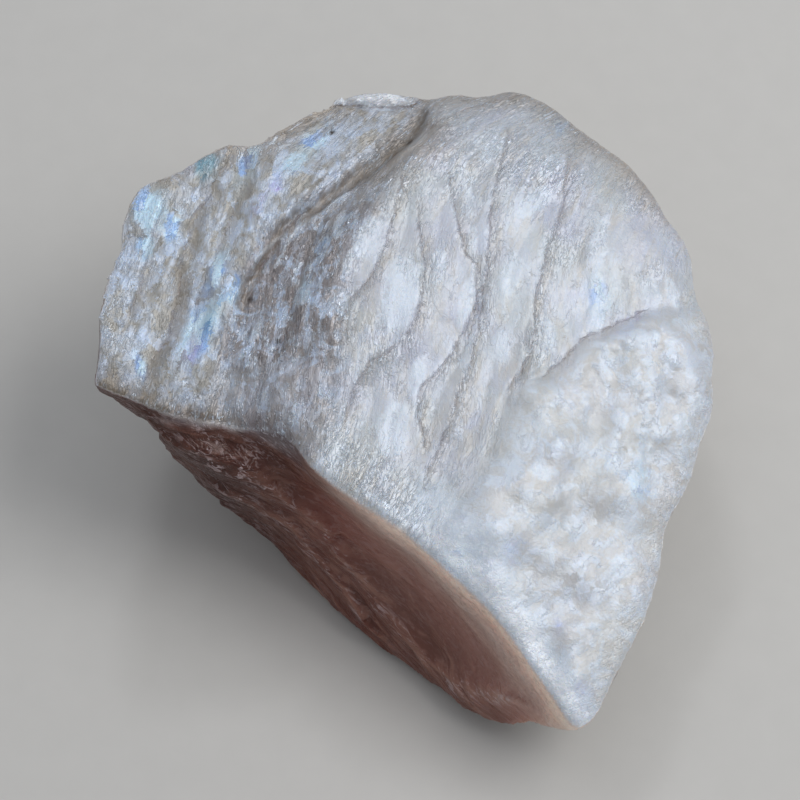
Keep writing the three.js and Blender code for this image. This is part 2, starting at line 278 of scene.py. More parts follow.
# Lines on the face, as x, y. What lies left of a line's direction of travel counts as beyond it.
FRONT_RIM = [
    (-26.8, -3.3), (-25.2, -3.8), (-20.8, -5.1), (-17.9, -5.3), (-16.1, -5.1), (-13.6, -5.7), (-11.5, -6.6),
    (-9.9, -7.6), (-9.0, -9.2), (-6.8, -10.7), (-4.3, -12.2), (-0.9, -14.1), (1.6, -16.1), (4.1, -18.1),
    (7.9, -21.8), (9.6, -24.0), (12.2, -27.6), (13.2, -28.6),
]
GROOVE = [
    (1.4, 26.7), (0.3, 22.6), (-1.5, 20.2), (-4.5, 17.9), (-7.3, 15.4), (-9.6, 13.6), (-11.4, 11.6),
    (-13.0, 8.8), (-14.2, 5.8), (-15.3, 1.5), (-16.1, -2.3), (-15.5, -7.2),
]
CREST = [
    (2.4, 26.7), (1.4, 23.0), (-0.4, 20.0), (-1.4, 16.5), (-2.8, 13.0), (-4.7, 10.3), (-5.4, 8.0),
    (-6.0, 4.5), (-5.7, 0.9), (-5.6, -1.9), (-6.6, -5.3), (-7.8, -8.7),
]
LIP = [
    (26.1, 8.8), (20.1, 6.7), (15.3, 4.0), (13.0, 1.6), (11.6, 0.2), (9.5, -0.5), (8.1, -1.8), (6.8, -6.5),
    (2.9, -12.8), (0.7, -15.7),
]
SHARD_CRACK = [(-7.6, 24.0), (-4.8, 24.1), (-1.8, 24.3), (-0.1, 24.9), (1.4, 26.0)]
VALLEYS = [
    [(9.4, 26.4), (6.4, 24.9), (4.6, 23.9), (2.7, 22.4), (0.8, 21.2)],
    [(-0.9, 16.1), (-1.4, 13.8), (-2.2, 10.7), (-3.3, 7.3), (-5.2, 5.0), (-6.2, 2.2)],
    [(0.5, 13.8), (0.8, 10.8), (1.1, 8.8), (0.6, 4.5), (-0.6, 1.8), (-3.5, -0.1), (-5.0, -2.6), (-5.6, -4.8)],
    [(3.3, 16.4), (3.9, 13.2), (4.5, 10.2), (5.6, 9.2), (5.5, 5.8), (4.4, 3.0), (2.5, 0.0), (0.6, -1.8),
     (0.4, -3.9), (0.9, -6.5)],
    [(8.4, 21.6), (7.9, 18.8), (7.0, 15.1), (6.7, 10.4), (5.8, 4.2), (4.7, -0.3), (2.9, -5.0), (1.2, -9.3)],
    [(13.7, 19.6), (13.2, 15.8), (11.8, 11.1), (10.6, 6.5), (10.2, 2.0), (8.5, -1.2)],
]
FOLDS = [
    [(-16.2, 17.6), (-17.6, 14.7), (-18.7, 12.8), (-19.6, 9.4), (-20.0, 5.8), (-20.6, 1.9), (-22.1, -0.2),
     (-22.5, -1.9)],
    [(-14.4, 19.6), (-14.5, 16.4), (-15.5, 13.2), (-16.3, 10.8), (-17.7, 7.5), (-18.4, 4.3), (-18.9, 1.1)],
    [(-21.3, 13.3), (-22.5, 10.1), (-23.2, 5.5), (-24.4, 2.8)],
    [(-8.5, 11.8), (-9.6, 8.8), (-10.4, 5.3), (-10.8, 1.8), (-12.7, -1.2), (-13.6, -3.4)],
]
# Cracks that the face shows sharply, with how dark each kind is.
CRACKS = [(VALLEYS, 0.55), (FOLDS, 0.5), ([LIP[1:5]], 0.55), ([SHARD_CRACK], 0.9), ([GROOVE[5:8]], 0.7)]
# Smooth olive troughs, partly their own colour and partly painted shade: line, half width and how deep their
# colour is.
TROUGHS = [
    ([(0.9, 24.2), (0.6, 22.9), (-0.1, 21.4), (-1.5, 20.1), (-2.7, 19.3), (-3.8, 18.5), (-5.7, 16.9),
      (-7.5, 15.3), (-8.4, 14.2), (-9.3, 13.3)], 0.5, 0.8),
    ([(-10.0, 13.6), (-10.7, 12.8), (-11.5, 11.8), (-12.3, 10.6), (-13.0, 9.1), (-13.6, 7.7), (-14.3, 6.6),
      (-14.7, 5.2)], 0.45, 0.7),
    ([(-7.8, 2.0), (-9.2, 0.1)], 0.55, 0.6),
    ([(-19.9, 7.8), (-19.7, 5.0), (-20.1, 2.3)], 0.75, 0.5),
    ([(-20.9, 1.3), (-21.8, -0.4), (-22.3, -3.7)], 0.6, 0.35),
    ([(-17.7, 16.7), (-17.8, 14.2), (-18.6, 11.0), (-18.9, 9.2)], 0.45, 0.35),
    ([(-14.3, 18.2), (-13.9, 16.7), (-14.4, 14.8)], 0.45, 0.35),
]
# Thin ridges that glint beside the groove.
GLINTS = [
    [(-5.6, 15.9), (-7.5, 14.4), (-8.6, 13.5), (-9.5, 12.9), (-10.4, 11.7), (-11.1, 10.2), (-11.7, 8.7)],
    [(-10.9, 11.9), (-12.2, 10.9), (-13.3, 9.5), (-13.7, 8.5)],
]
# Ridges of the broken front, as the distance along it and the depth below the face.
FRONT_RIDGES = [
    [(3.3, 9.0), (6.5, 10.0), (10.2, 10.5), (14.1, 11.1), (17.5, 9.6), (22.0, 6.5)],
    [(-10.0, 5.0), (-8.4, 5.4), (-5.3, 6.0), (-1.0, 7.1), (2.0, 8.2)],
    [(-6.3, 9.0), (-1.0, 9.8), (3.0, 12.0), (7.0, 13.0)],
]

# Pearly plates on the face: x, y, half length, half width, and lean to the right from +Y in degrees.
PLATES = [
    (2.3, 8.6, 1.9, 0.9, 10), (4.5, 5.8, 2.6, 0.7, 12), (5.2, 11.3, 1.9, 0.6, 5), (-1.1, 5.9, 3.8, 1.7, 8),
    (-3.9, 10.3, 2.4, 1.1, 15), (12.4, 19.3, 1.8, 0.7, 35), (10.7, 15.5, 2.2, 1.0, 40),
    (7.0, 19.9, 1.9, 0.8, 40), (16.4, 8.2, 1.6, 0.8, 5), (15.9, 5.6, 1.4, 0.8, 0), (22.9, 8.8, 1.7, 0.7, -20),
    (-1.6, -5.7, 2.8, 1.5, 10), (11.2, 3.4, 2.0, 1.2, 10), (3.0, -14.0, 1.2, 0.5, 60),
    (-2.2, 24.5, 2.6, 0.35, 80), (-0.2, 25.3, 1.2, 0.4, 60), (-5.4, 25.0, 1.0, 0.35, 70),
    (7.4, 2.2, 1.8, 0.9, 12), (8.6, 8.6, 2.2, 0.9, 15), (0.2, -1.0, 1.8, 0.8, 20), (-6.3, 12.1, 1.9, 0.6, 10),
    (-9.3, 5.7, 1.7, 0.8, 20), (-13.4, 2.7, 1.3, 0.5, 20), (-5.2, 8.2, 1.5, 0.5, 15),
]
# Bright grains on the shoulder: x, y and radius.
GRAINS = [
    (19.7, 4.2, 0.9), (21.1, 4.0, 0.8), (22.6, 3.9, 0.6), (22.1, 2.6, 0.7), (25.6, 3.3, 0.5),
    (20.5, 1.7, 0.7), (16.5, 1.2, 0.8), (20.5, -0.4, 0.8), (17.9, -3.3, 0.8), (24.8, -0.6, 0.8),
    (23.3, -2.9, 1.0), (17.0, -7.0, 1.0), (19.5, -6.2, 0.9), (19.4, -8.3, 1.2), (11.1, -8.6, 1.3),
    (12.2, -6.6, 0.7), (17.6, -15.4, 1.5), (6.0, -17.4, 0.9), (19.1, 6.5, 1.1), (16.5, 3.0, 0.6),
]
# Painted sheen on the plateau and the face: x, y, half length, half width, lean in degrees, and strength.
SKY = [
    (-22.5, 12.6, 1.9, 1.7, 0, 0.95), (-22.9, 9.4, 1.1, 0.7, 0, 1.0), (-20.6, 11.5, 1.3, 0.8, 20, 0.8),
    (-9.4, 19.4, 3.2, 0.9, 35, 0.8), (-14.3, 17.4, 2.6, 0.9, 15, 0.6), (-16.9, 7.4, 2.4, 0.7, 20, 0.9),
    (-15.2, 6.4, 1.4, 0.5, 15, 0.8), (-17.9, 2.8, 3.6, 1.3, 20, 0.75), (-22.9, -1.2, 1.3, 0.5, -15, 0.8),
    (19.4, -8.3, 1.6, 1.3, 0, 0.35), (13.4, 24.0, 1.2, 0.8, 0, 0.35), (16.2, 8.0, 2.4, 1.2, 0, 0.3),
    (3.5, -17.0, 3.4, 1.5, 50, 0.25), (-9.3, 6.2, 1.4, 0.5, -10, 0.5), (-7.6, 10.5, 2.0, 0.7, 15, 0.35),
]
TEAL = [(-17.8, 17.0, 1.4, 1.0, 30, 0.95), (-17.0, 3.8, 2.2, 1.0, 20, 0.4)]
VIOLET = [
    (-11.8, 16.2, 1.0, 0.7, 20, 0.85), (-18.8, 0.4, 2.0, 0.6, 15, 0.6), (-19.6, 16.6, 0.9, 0.6, 30, 0.6),
    (-13.3, 14.0, 1.6, 0.5, 20, 0.5), (19.0, 5.4, 1.6, 0.6, 40, 0.4), (12.4, -21.3, 0.8, 0.6, 0, 0.5),
    (14.5, -26.5, 1.6, 0.8, 20, 0.45), (8.0, -16.0, 2.4, 0.9, 45, 0.3),
]
# Dark specks: x and y.
SPECKS = [(-0.1, 21.1), (-7.0, 21.5), (-11.4, 1.5), (-13.9, 5.8)]


def ovals(points, shapes, edge=1.15):
    """How far inside any of the ovals a point lies: 1 at a middle, 0 outside. A high edge is soft."""
    found = np.zeros(len(points))
    for x, y, long, wide, lean, *strength in shapes:
        turned = math.radians(lean)
        away = points[:, :2] - (x, y)
        across = (away[:, 0] * math.cos(turned) - away[:, 1] * math.sin(turned)) / wide
        along = (away[:, 0] * math.sin(turned) + away[:, 1] * math.cos(turned)) / long
        inside = ramp(np.hypot(across, along), edge, 1.9 - edge)
        found = np.maximum(found, inside * (strength[0] if strength else 1.0))
    return found


def valley(distance, wide):
    """Profile of a crease: a sharp edge on its near side and a slow rise of this width beyond it."""
    return np.where(distance > 0, np.exp(-(np.abs(distance) / wide) ** 1.5), bump(distance, 0.22))


def valleys(points, lines, wide, wander):
    """The deepest of such creases at each point."""
    return np.maximum.reduce([valley(beside(points, line) + wander, wide) for line in lines])


def troughs(points, wander):
    """Share of the smooth olive troughs, their edges softened from 1.5 to 0.4 of their half width."""
    return np.maximum.reduce([
        strength * ramp(np.abs(beside(points, line) + 0.6 * wander), wide * 1.5, wide * 0.4)
        for line, wide, strength in TROUGHS])


def nearest_crack(points, wander):
    """Signed and plain distance to the nearest named crack, and how dark that crack is."""
    signed = np.full(len(points), 9.0)
    dark = np.zeros(len(points))
    for lines, strength in CRACKS:
        for line in lines:
            distance = beside(points, line)
            closer = np.abs(distance) < np.abs(signed)
            signed = np.where(closer, distance, signed)
            dark = np.where(closer, strength, dark)
    return np.stack([signed + wander, np.abs(signed), dark], axis=1)


def face_flow(points):
    """Across and along the ridges of the face, and down through its layers."""
    x, y = points[:, 0], points[:, 1]
    up = y - 0.105 * x + 3.0
    plateau = ramp(x, -8, -15)
    bend = 0.00073 * (up - 5) ** 3 * (1 - plateau)
    across = x - (0.12 + 0.14 * plateau) * up - bend
    along = up + 0.3 * x
    return np.stack([across, along, depth_of(points)], axis=1)


def depth_of(points):
    """Depth below the cleavage face, square to it."""
    return (np.array((0, 0, FACE_HEIGHT)) - points) @ FACE_NORMAL


# ---------------------------------------------------------------- the skin and its relief


# An edge of the solid stays sharp in the skin as it bends more: not at all at the first angle, and by the
# full sharpness from the second.
SOFT_BEND = math.radians(25)
SHARP_BEND = math.radians(50)
SHARPNESS = 0.75
# Rounds of smoothing: for the way that the face and the front lie, for the notch in the front rim, and for the
# rims after the relief.
FACE_ROUNDS = 6
FRONT_ROUNDS = 60
NOTCH_ROUNDS = 60
RIM_ROUNDS = 4


def even_skin(settings):
    """The solid's form in small even quads, its rim kept sharp."""
    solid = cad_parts[SOLID]
    mesh = solid.data.copy()
    mesh.materials.clear()
    shell = bmesh.new()
    shell.from_mesh(mesh)
    bmesh.ops.remove_doubles(shell, verts=shell.verts, dist=0.001 * MM)
    crease = shell.edges.layers.float.get("crease_edge") or shell.edges.layers.float.new("crease_edge")
    for edge in shell.edges:
        share = (edge.calc_face_angle(0.0) - SOFT_BEND) / (SHARP_BEND - SOFT_BEND)
        edge[crease] = SHARPNESS * min(1.0, max(0.0, share))
    shell.to_mesh(mesh)
    shell.free()
    stone = bpy.data.objects.new("milky_stone", mesh)
    bpy.context.scene.collection.objects.link(stone)
    rounding = stone.modifiers.new("Rounding", "SUBSURF")
    rounding.levels = 1
    remesh = stone.modifiers.new("Even grain", "REMESH")
    remesh.mode = "VOXEL"
    remesh.voxel_size = settings.grain
    evaluated = stone.evaluated_get(bpy.context.evaluated_depsgraph_get())
    skin = bpy.data.meshes.new_from_object(evaluated)
    stone.modifiers.clear()
    stone.data = skin
    bpy.data.meshes.remove(mesh)
    skin.name = stone.name
    return stone


class Skin:
    """A mesh's points and normals in millimetres, and its edges for smoothing."""

    def __init__(self, mesh):
        self.mesh = mesh
        count = len(mesh.vertices)
        self.points = self.read(mesh.vertices, "co", count) / MM
        self.normals = self.read(mesh.vertices, "normal", count)
        edges = np.zeros(len(mesh.edges) * 2, int)
        mesh.edges.foreach_get("vertices", edges)
        self.edges = edges.reshape(-1, 2)
        self.neighbours = np.maximum(np.bincount(self.edges.ravel(), minlength=count), 1)
        self.points = self.smoothed(self.points, 3)
        self.move(np.zeros(count))

    @staticmethod
    def read(items, name, count):
        values = np.zeros(count * 3)
        items.foreach_get(name, values)
        return values.reshape(-1, 3)

    def smoothed(self, values, rounds):
        """Values averaged with those of their neighbours, so many rounds over."""
        count = len(values)
        columns = values.reshape(count, -1).astype(float)
        first, second = self.edges.T
        for _ in range(rounds):
            total = np.stack([
                np.bincount(first, column[second], count) + np.bincount(second, column[first], count)
                for column in columns.T
            ], axis=1)
            columns = 0.5 * columns + 0.5 * total / self.neighbours[:, None]
        return columns.reshape(values.shape)

    def soften(self, share, rounds):
        """Takes each point by its share towards the mean of its neighbours."""
        self.points = self.points + share[:, None] * (self.smoothed(self.points, rounds) - self.points)

    def move(self, distance):
        """Moves every point along its normal."""
        self.points = self.points + self.normals * distance[:, None]
        self.mesh.vertices.foreach_set("co", (self.points * MM).ravel())
        self.mesh.update()
        self.normals = self.read(self.mesh.vertices, "normal", len(self.points))

    def leave(self, name, values):
        """Keeps values on the mesh for the material."""
        kind = "FLOAT_VECTOR" if values.ndim == 2 else "FLOAT"
        key = "vector" if values.ndim == 2 else "value"
        attribute = self.mesh.attributes.new(name, kind, "POINT")
        attribute.data.foreach_set(key, values.astype(np.float32).ravel())


def zones_of(skin):
    """Where each kind of surface is, as shares from 0 to 1, and distances to the face's main lines."""
    points = skin.points
    x, y = points[:, 0], points[:, 1]
    broad = skin.smoothed(skin.normals, FACE_ROUNDS)
    broad /= np.linalg.norm(broad, axis=1)[:, None]
    wander = 0.30 * Grain(3).soft(points / 1.5) + 0.2 * Grain(4).soft(points / 0.7)
    inside = beside(points, FRONT_RIM)
    behind_rim = ramp(inside, -0.25, 0.15)
    face = ramp(broad @ FACE_NORMAL, 0.35, 0.7) * behind_rim
    ahead = skin.smoothed(skin.normals, FRONT_ROUNDS) @ FRONT_NORMAL
    ahead += 0.22 * Grain(5).rough(points / 5.0, 3)
    front = np.maximum(ramp(ahead, -0.25, 0.5), (1 - behind_rim) * ramp(ahead, -0.15, 0.35))
    front = (1 - face) * front
    groove = beside(points, GROOVE) + wander
    crest = beside(points, CREST)
    lip = beside(points, LIP) + wander
    slope = face * ramp(groove, -1.7, -0.3) * ramp(crest, 1.5, -1.5) * (1 - 0.4 * ramp(y, 1.0, -2.0))
    slope *= 1 - 0.25 * ramp(y, 10, 15)
    plateau = face * ramp(groove, -0.5, -1.5)
    shoulder = face * ramp(lip, 0.0, 1.5)
    notch_span = ramp(x, -21.5, -18.5) * ramp(x, -8.5, -11.5)
    return SimpleNamespace(
        face=face, front=front, side=np.clip(1 - face - front, 0, 1),
        slope=slope, plateau=plateau, shoulder=shoulder,
        main=face * np.clip(1 - slope - plateau - shoulder, 0, 1),
        notch=bump(inside, 2.6) * notch_span,
        roll=bump(inside + 0.8 + wander, 1.7) * notch_span * ramp(depth_of(points), 3.6, 1.2),
        groove=groove, lip=lip, inside=inside, wander=wander)


# Each relief gives the heights to move the points by, and notes in marks what the material will follow.


def face_relief(points, zones, marks, settings):
    """Smooth plates between long creases, with finer creases where the face is busy."""
    grain = Grain(11)
    flow = marks.flow
    warp = np.stack([grain.soft(points / 3.1), grain.soft(points / 3.7 + 50), np.zeros(len(flow))], axis=1)
    big = grain.rough(flow / (3.3, 14, 9) + 0.35 * warp, 2)
    small = grain.rough(flow / (1.35, 4.6, 4) + 0.7 * warp + 40, 2)
    marks.busy = ramp(grain.soft(points / 5 + 9), 0.0, 0.25)
    marks.crease = np.exp(-np.abs(big) / 0.05)
    marks.minor = np.exp(-np.abs(small) / 0.10) * (0.3 + 0.7 * marks.busy)
    where = zones.main + 0.9 * zones.plateau + 0.8 * zones.slope + 0.3 * zones.shoulder
    height = where * settings.flow_height / MM * (
        1.2 * np.minimum(np.abs(big), 0.4) - 0.4 * marks.crease - 0.25 * marks.minor)
    named = valleys(points, VALLEYS, 0.75, zones.wander)
    folds = valleys(points, FOLDS, 0.8, zones.wander)
    marks.named = np.maximum(named, folds)
    marks.plates = ovals(points + 0.5 * warp, PLATES)
    fill = np.maximum.reduce([bump(beside(points, line), 1.2) for line in VALLEYS])
    return height + zones.face * (0.05 * marks.plates + 0.36 * fill - 0.10 * named - 0.14 * folds)


def sugar_relief(points, zones, marks, settings):
    """Rounded grains that stand out of the shoulder, between smooth milky stone."""
    grain = Grain(37)
    warp = grain.wobble(points / 1.8, 30)
    marks.seam, _, marks.number = grain.cells(points / 1.7 + 0.4 * warp)
    right_back = ramp(points @ (0.6, 0.8, 0), -4, 8)
    marks.patch = ramp(grain.soft(points / 5.5), -0.3, 0.15) * (0.25 + 0.75 * right_back)
    ragged = points[:, :2] + 0.7 * warp[:, :2] + 0.9 * grain.wobble(points / 0.8, 9, 2)
    named = np.maximum.reduce([
        ramp(np.linalg.norm(ragged - (x, y), axis=1) / radius, 1.2, 0.5) for x, y, radius in GRAINS])
    marks.grains = named * zones.shoulder
    dome = ramp(marks.seam, 0.0, 0.6) * (0.3 + grain.places[marks.number, 2])
    risen = dome * (0.08 + 0.92 * marks.patch)
    return zones.shoulder * settings.sugar_height / MM * (risen + 0.4 * named)


def creases_relief(points, zones, marks, settings):
    """The groove, the crack below the shard at the far rim, and the crease at the lip."""
    x = points[:, 0]
    marks.shard = bump(beside(points, SHARD_CRACK) + zones.wander, 0.28)
    marks.lip = valley(zones.lip, 0.8) * ramp(x, 4, 9) * ramp(x, 21, 15)
    fill = 0.30 * bump(zones.lip + 0.8, 1.2)
    groove = bump(zones.groove, 0.6)
    return zones.face * (fill - 0.20 * groove - 0.45 * marks.shard - 0.12 * marks.lip)


def front_relief(points, zones, marks, settings):
    """Ridges, a hollow and stripes along the layers on the broken front."""
    grain = Grain(41)
    along, depth = points @ ALONG_FRONT, depth_of(points)
    place = np.stack([along, depth], axis=1)
    layered = np.stack([along / 9, depth / 0.9, points @ FRONT_NORMAL / 6], axis=1)
    warp = grain.soft(points / 4)[:, None] * (0.3, 0.9, 0)
    stripes = grain.rough(layered + warp, 3)
    folds = np.abs(grain.rough(layered * (1.6, 0.4, 1) + 5.5 + warp, 2))
    ridge = np.zeros(len(points))
    for line in FRONT_RIDGES:
        distance = beside(place, line) + 1.2 * grain.soft(points / 5.0)
        ridge = np.maximum(ridge, bump(distance, np.where(distance > 0, 2.2, 0.8)))
    marks.hollow = bump(depth - 5.8, 2.6) * ramp(along, -4, 4)
    marks.ridge = ramp(ridge, 0.75, 1.0)
    texture = settings.stripe_height / MM * (1.6 * stripes + 2.0 * folds)
    return zones.front * (texture + 0.8 * ridge - 0.5 * marks.hollow)


def side_relief(points, zones, marks, settings):
    """Steps where the layers broke off one below the other, with small chips on them."""
    grain = Grain(53)
    depth = depth_of(points) / 1.7 + 0.9 * grain.soft(points / 8)
    layer = np.floor(depth).astype(int)
    reach = points / 4.5

    def broken(number):
        return grain.soft(reach + np.stack([number * 7.3, number * 3.1, number * 5.7], axis=1))

    riser = ramp(depth - layer, 0.8, 1.0)
    steps = broken(layer) * (1 - riser) + broken(layer + 1) * riser
    chips = 0.35 * grain.facets(points / 2.6)[0] + 0.3 * grain.rough(points / 1.3)
    low = ramp(depth_of(points), 1.0, 3.5)
    height = zones.side * settings.step_height / MM * low * (1.3 * steps + chips)
    return height * ramp(marks.distance, 0.3, 2.2)


def satin_relief(points, zones, marks, settings):
    """Crumpled folds on the slope, scales on the plateau, and the smooth troughs through them."""
    grain = Grain(23)
    flow = marks.flow
    warp = grain.soft(points / 1.6)[:, None] * (0.8, 0.5, 0)
    folds = np.abs(grain.rough(flow / (0.95, 2.1, 4) + warp, 2))
    flakes = np.abs(grain.rough(flow / (2.2, 4.0, 4) + 20 + warp, 2))
    seam, _, number = grain.cells(flow / (0.85, 1.9, 9) + 0.7 * warp)
    marks.scale = ramp(seam, 0.0, 0.45) * ramp(grain.places[number, 0], 0.3, 0.8)
    height = (zones.slope + 0.5 * zones.roll) * (2 * folds - 0.4)
    height += zones.plateau * (1.6 * flakes + 0.6 * marks.scale - 0.5)
    marks.trough = troughs(points, zones.wander)
    return height * settings.satin_height / MM * (1 - marks.trough) - 0.22 * marks.trough * zones.face


def rims_relief(points, zones, marks, settings):
    """The shard's flakes, the raised edge over the front, the thin ridges at the groove, and rough rims."""
    x = points[:, 0]
    above = beside(points, SHARD_CRACK)
    marks.flake = zones.face * ramp(above, 0.0, 0.5) * ramp(above, 3, 2.5)
    marks.flake *= ramp(x, -9, -8) * ramp(x, 2.5, 1.5)
    facet, seam = Grain(61).facets(points / (2.0, 1.3, 1.3))
    height = marks.flake * (1.6 * facet - 0.4 * ramp(seam, 0.2, 0.0))
    height += 0.15 * bump(zones.inside - 0.45, 0.4) * zones.face * (1 - zones.notch)
    for line in GLINTS:
        height += 0.25 * bump(beside(points, line) + 0.5 * zones.wander, 0.4) * zones.face
    return height + 0.08 * Grain(71).rough(points / 1.1) * bump(marks.distance, 1.2)


RELIEFS = (face_relief, sugar_relief, creases_relief, front_relief, side_relief, satin_relief, rims_relief)


def rim_distance(skin, zones):
    """Distance from each point to the edge between the face and the sides."""
    edge = np.flatnonzero(np.abs(zones.face - 0.5) < 0.3)
    tree = kdtree.KDTree(len(edge))
    for number, vertex in enumerate(edge):
        tree.insert(skin.points[vertex], number)
    tree.balance()
    return np.array([tree.find(point)[2] for point in skin.points])


def fit_to_solid(skin):
    """Takes up the little that the rounding and the relief changed in the stone's overall size."""
    low, high = (np.array(corner) / MM for corner in SOLID_BOX)
    own_low, own_high = skin.points.min(axis=0), skin.points.max(axis=0)
    skin.points = low + (skin.points - own_low) * (high - low) / (own_high - own_low)
    skin.mesh.vertices.foreach_set("co", (skin.points * MM).ravel())
    skin.mesh.update()


def carve(skin, settings):
    """Rounds the notch of the front rim, cuts the relief into the skin and measures it for the material."""
    zones = zones_of(skin)
    skin.soften(zones.notch, NOTCH_ROUNDS)
    skin.move(np.zeros(len(skin.points)))
    points = skin.points
    marks = SimpleNamespace(flow=face_flow(points), distance=rim_distance(skin, zones))
    shapes = sum(relief(points, zones, marks, settings) for relief in RELIEFS)
    above_foot = ramp(points[:, 2], 0.05, 2.0)
    skin.move(shapes * above_foot * (0.3 + 0.7 * ramp(marks.distance, 0, 1.4)))
    skin.soften(bump(marks.distance, 0.9) * (1 - marks.flake), RIM_ROUNDS)
    fit_to_solid(skin)
    leave_measures(skin, points, zones, marks)


def leave_measures(skin, points, zones, marks):
    """Leaves on the skin what the material follows, read at the points as they were before the relief."""
    tone = Grain(83)
    x, y = points[:, 0], points[:, 1]
    inside, smooth = zones.inside, marks.trough
    along = points @ ALONG_FRONT
    left = ramp(along, 2, -8)
    # The dark front ends raggedly behind the left tip.
    front = zones.front * ramp(y + 7 * tone.rough(points / (5.0, 5.0, 2.5), 3), 10, -4)

    # Dark cracks and creases: partly the stone's own, partly painted shade in the creases.
    seams = np.maximum(0.55 * marks.crease, 0.35 * marks.minor)
    dark = np.maximum.reduce([
        seams * (zones.main + 0.8 * zones.plateau + 0.5 * zones.slope),
        marks.named * (0.75 * zones.main + 0.8 * zones.plateau + 0.5 * zones.slope),
        marks.lip * zones.face,
        marks.shard * zones.face,
        zones.shoulder * 0.35 * ramp(marks.seam, 0.08, 0.02) * marks.patch,
    ])

    # Painted highlights: a line on the front rim's edge, the face lit up just behind the rim where it turns
    # from the light, and the thin ridges beside the groove. The shard's flakes are partly their own pale
    # colour, partly painted highlight. Bright also holds the stone's own pale plates, grains and scales.
    edge = bump(inside - 0.75, 0.45) * ramp(x, -9, -5) * ramp(tone.soft(points / 2.2), -0.2, 0.2)
    behind = np.maximum(bump(inside - 1.2, 1.8), 0.8 * bump(inside - 3.2, 2.6) * ramp(x, 11, 7))
    grainy = ramp(tone.places[marks.number, 1], 0.5, 0.85) * ramp(marks.seam, 0.03, 0.12) * marks.patch
    bright = np.maximum.reduce([
        0.8 * marks.plates * zones.face,
        marks.grains,
        1.5 * marks.flake,
        1.4 * edge * zones.face,
        0.5 * marks.scale * zones.plateau * (1 - smooth),
        1.35 * behind * ramp(x, -3, 2) * (zones.main + zones.shoulder),
        0.8 * zones.shoulder * grainy,
    ] + [bump(beside(points, line) + 0.5 * zones.wander, 0.22) for line in GLINTS])

    low = bump(inside - 2.0, 3.0) * ramp(x, -9, -6) * ramp(x, 4, -2)
    high = 0.5 * ramp(y, 13, 19) * ramp(x, 18, 12)
    # Where the surface wrinkles: this sets bump and gloss, and also where the painted glints go.
    crinkle = zones.slope + 0.35 * zones.plateau + 0.8 * zones.roll
    crinkle += zones.face * 0.3 * bump(marks.distance, 2.0)
    crinkle += zones.main * (0.06 + 0.24 * marks.busy + 0.5 * marks.named + 0.6 * low + high)
    crinkle *= 1 - 0.9 * smooth
    crinkle += front * (0.12 + 0.2 * left + 0.4 * marks.ridge)
    tilt = zones.slope + 0.55 * zones.plateau + 0.2 * zones.shoulder + 0.6 * zones.side + 0.5 * front
    tilt += zones.main * (0.08 + 0.15 * marks.busy + 0.4 * (marks.named + low + high))
    tilt *= 1 - 0.8 * smooth
    tilt += 0.6 * marks.flake

    specks = [ramp(np.linalg.norm(points[:, :2] - spot, axis=1), 0.35, 0.15) for spot in SPECKS]
    # Where the front shows the painted glow of light through the thin rim; the strip also deepens the real
    # scattering.
    strip = front * np.exp(-((marks.distance / 5.2) ** 1.6)) * ramp(along, -3, 10)
    measures = {
        "flow": marks.flow,
        "cracks": nearest_crack(points, zones.wander),
        "front": front,
        "slope": zones.slope,
        "plateau": zones.plateau,
        "shoulder": zones.shoulder,
        "roll": zones.roll,
        "sides": (1 - zones.face) * (1 - 0.8 * zones.roll),
        "dark": np.clip(dark, 0, 1),
        "hem": 0.8 * bump(inside + 2 * zones.wander, 1.9) * ramp(x, -12, -17) * zones.face,
        "trough": smooth * np.maximum(zones.face, zones.notch),
        "bright": bright,
        "crinkle": np.clip(crinkle, 0, 1),
        "tilt": tilt,
        # Painted shade along the rims, most at the far rim, where the face curves away from the light.
        "rim": bump(marks.distance, 2.2) * (0.1 + 1.1 * ramp(y, 12, 20)) * (1 - marks.flake),
        # Where painted shade darkens the left end of the front.
        "left": front * left,
        "strip": np.clip(strip, 0, 1),
        "ridge": marks.ridge * front,
        "hollow": marks.hollow * front,
        "speck": np.maximum.reduce(specks) * zones.face,
    }
    ragged = points + 0.5 * tone.wobble(points / 0.9, 9)
    for name, shapes in (("sky", SKY), ("teal", TEAL), ("violet", VIOLET)):
        measures[name] = ovals(ragged, shapes, 1.6) * zones.face
    for name, values in measures.items():
        skin.leave(name, values)


# ---------------------------------------------------------------- the material


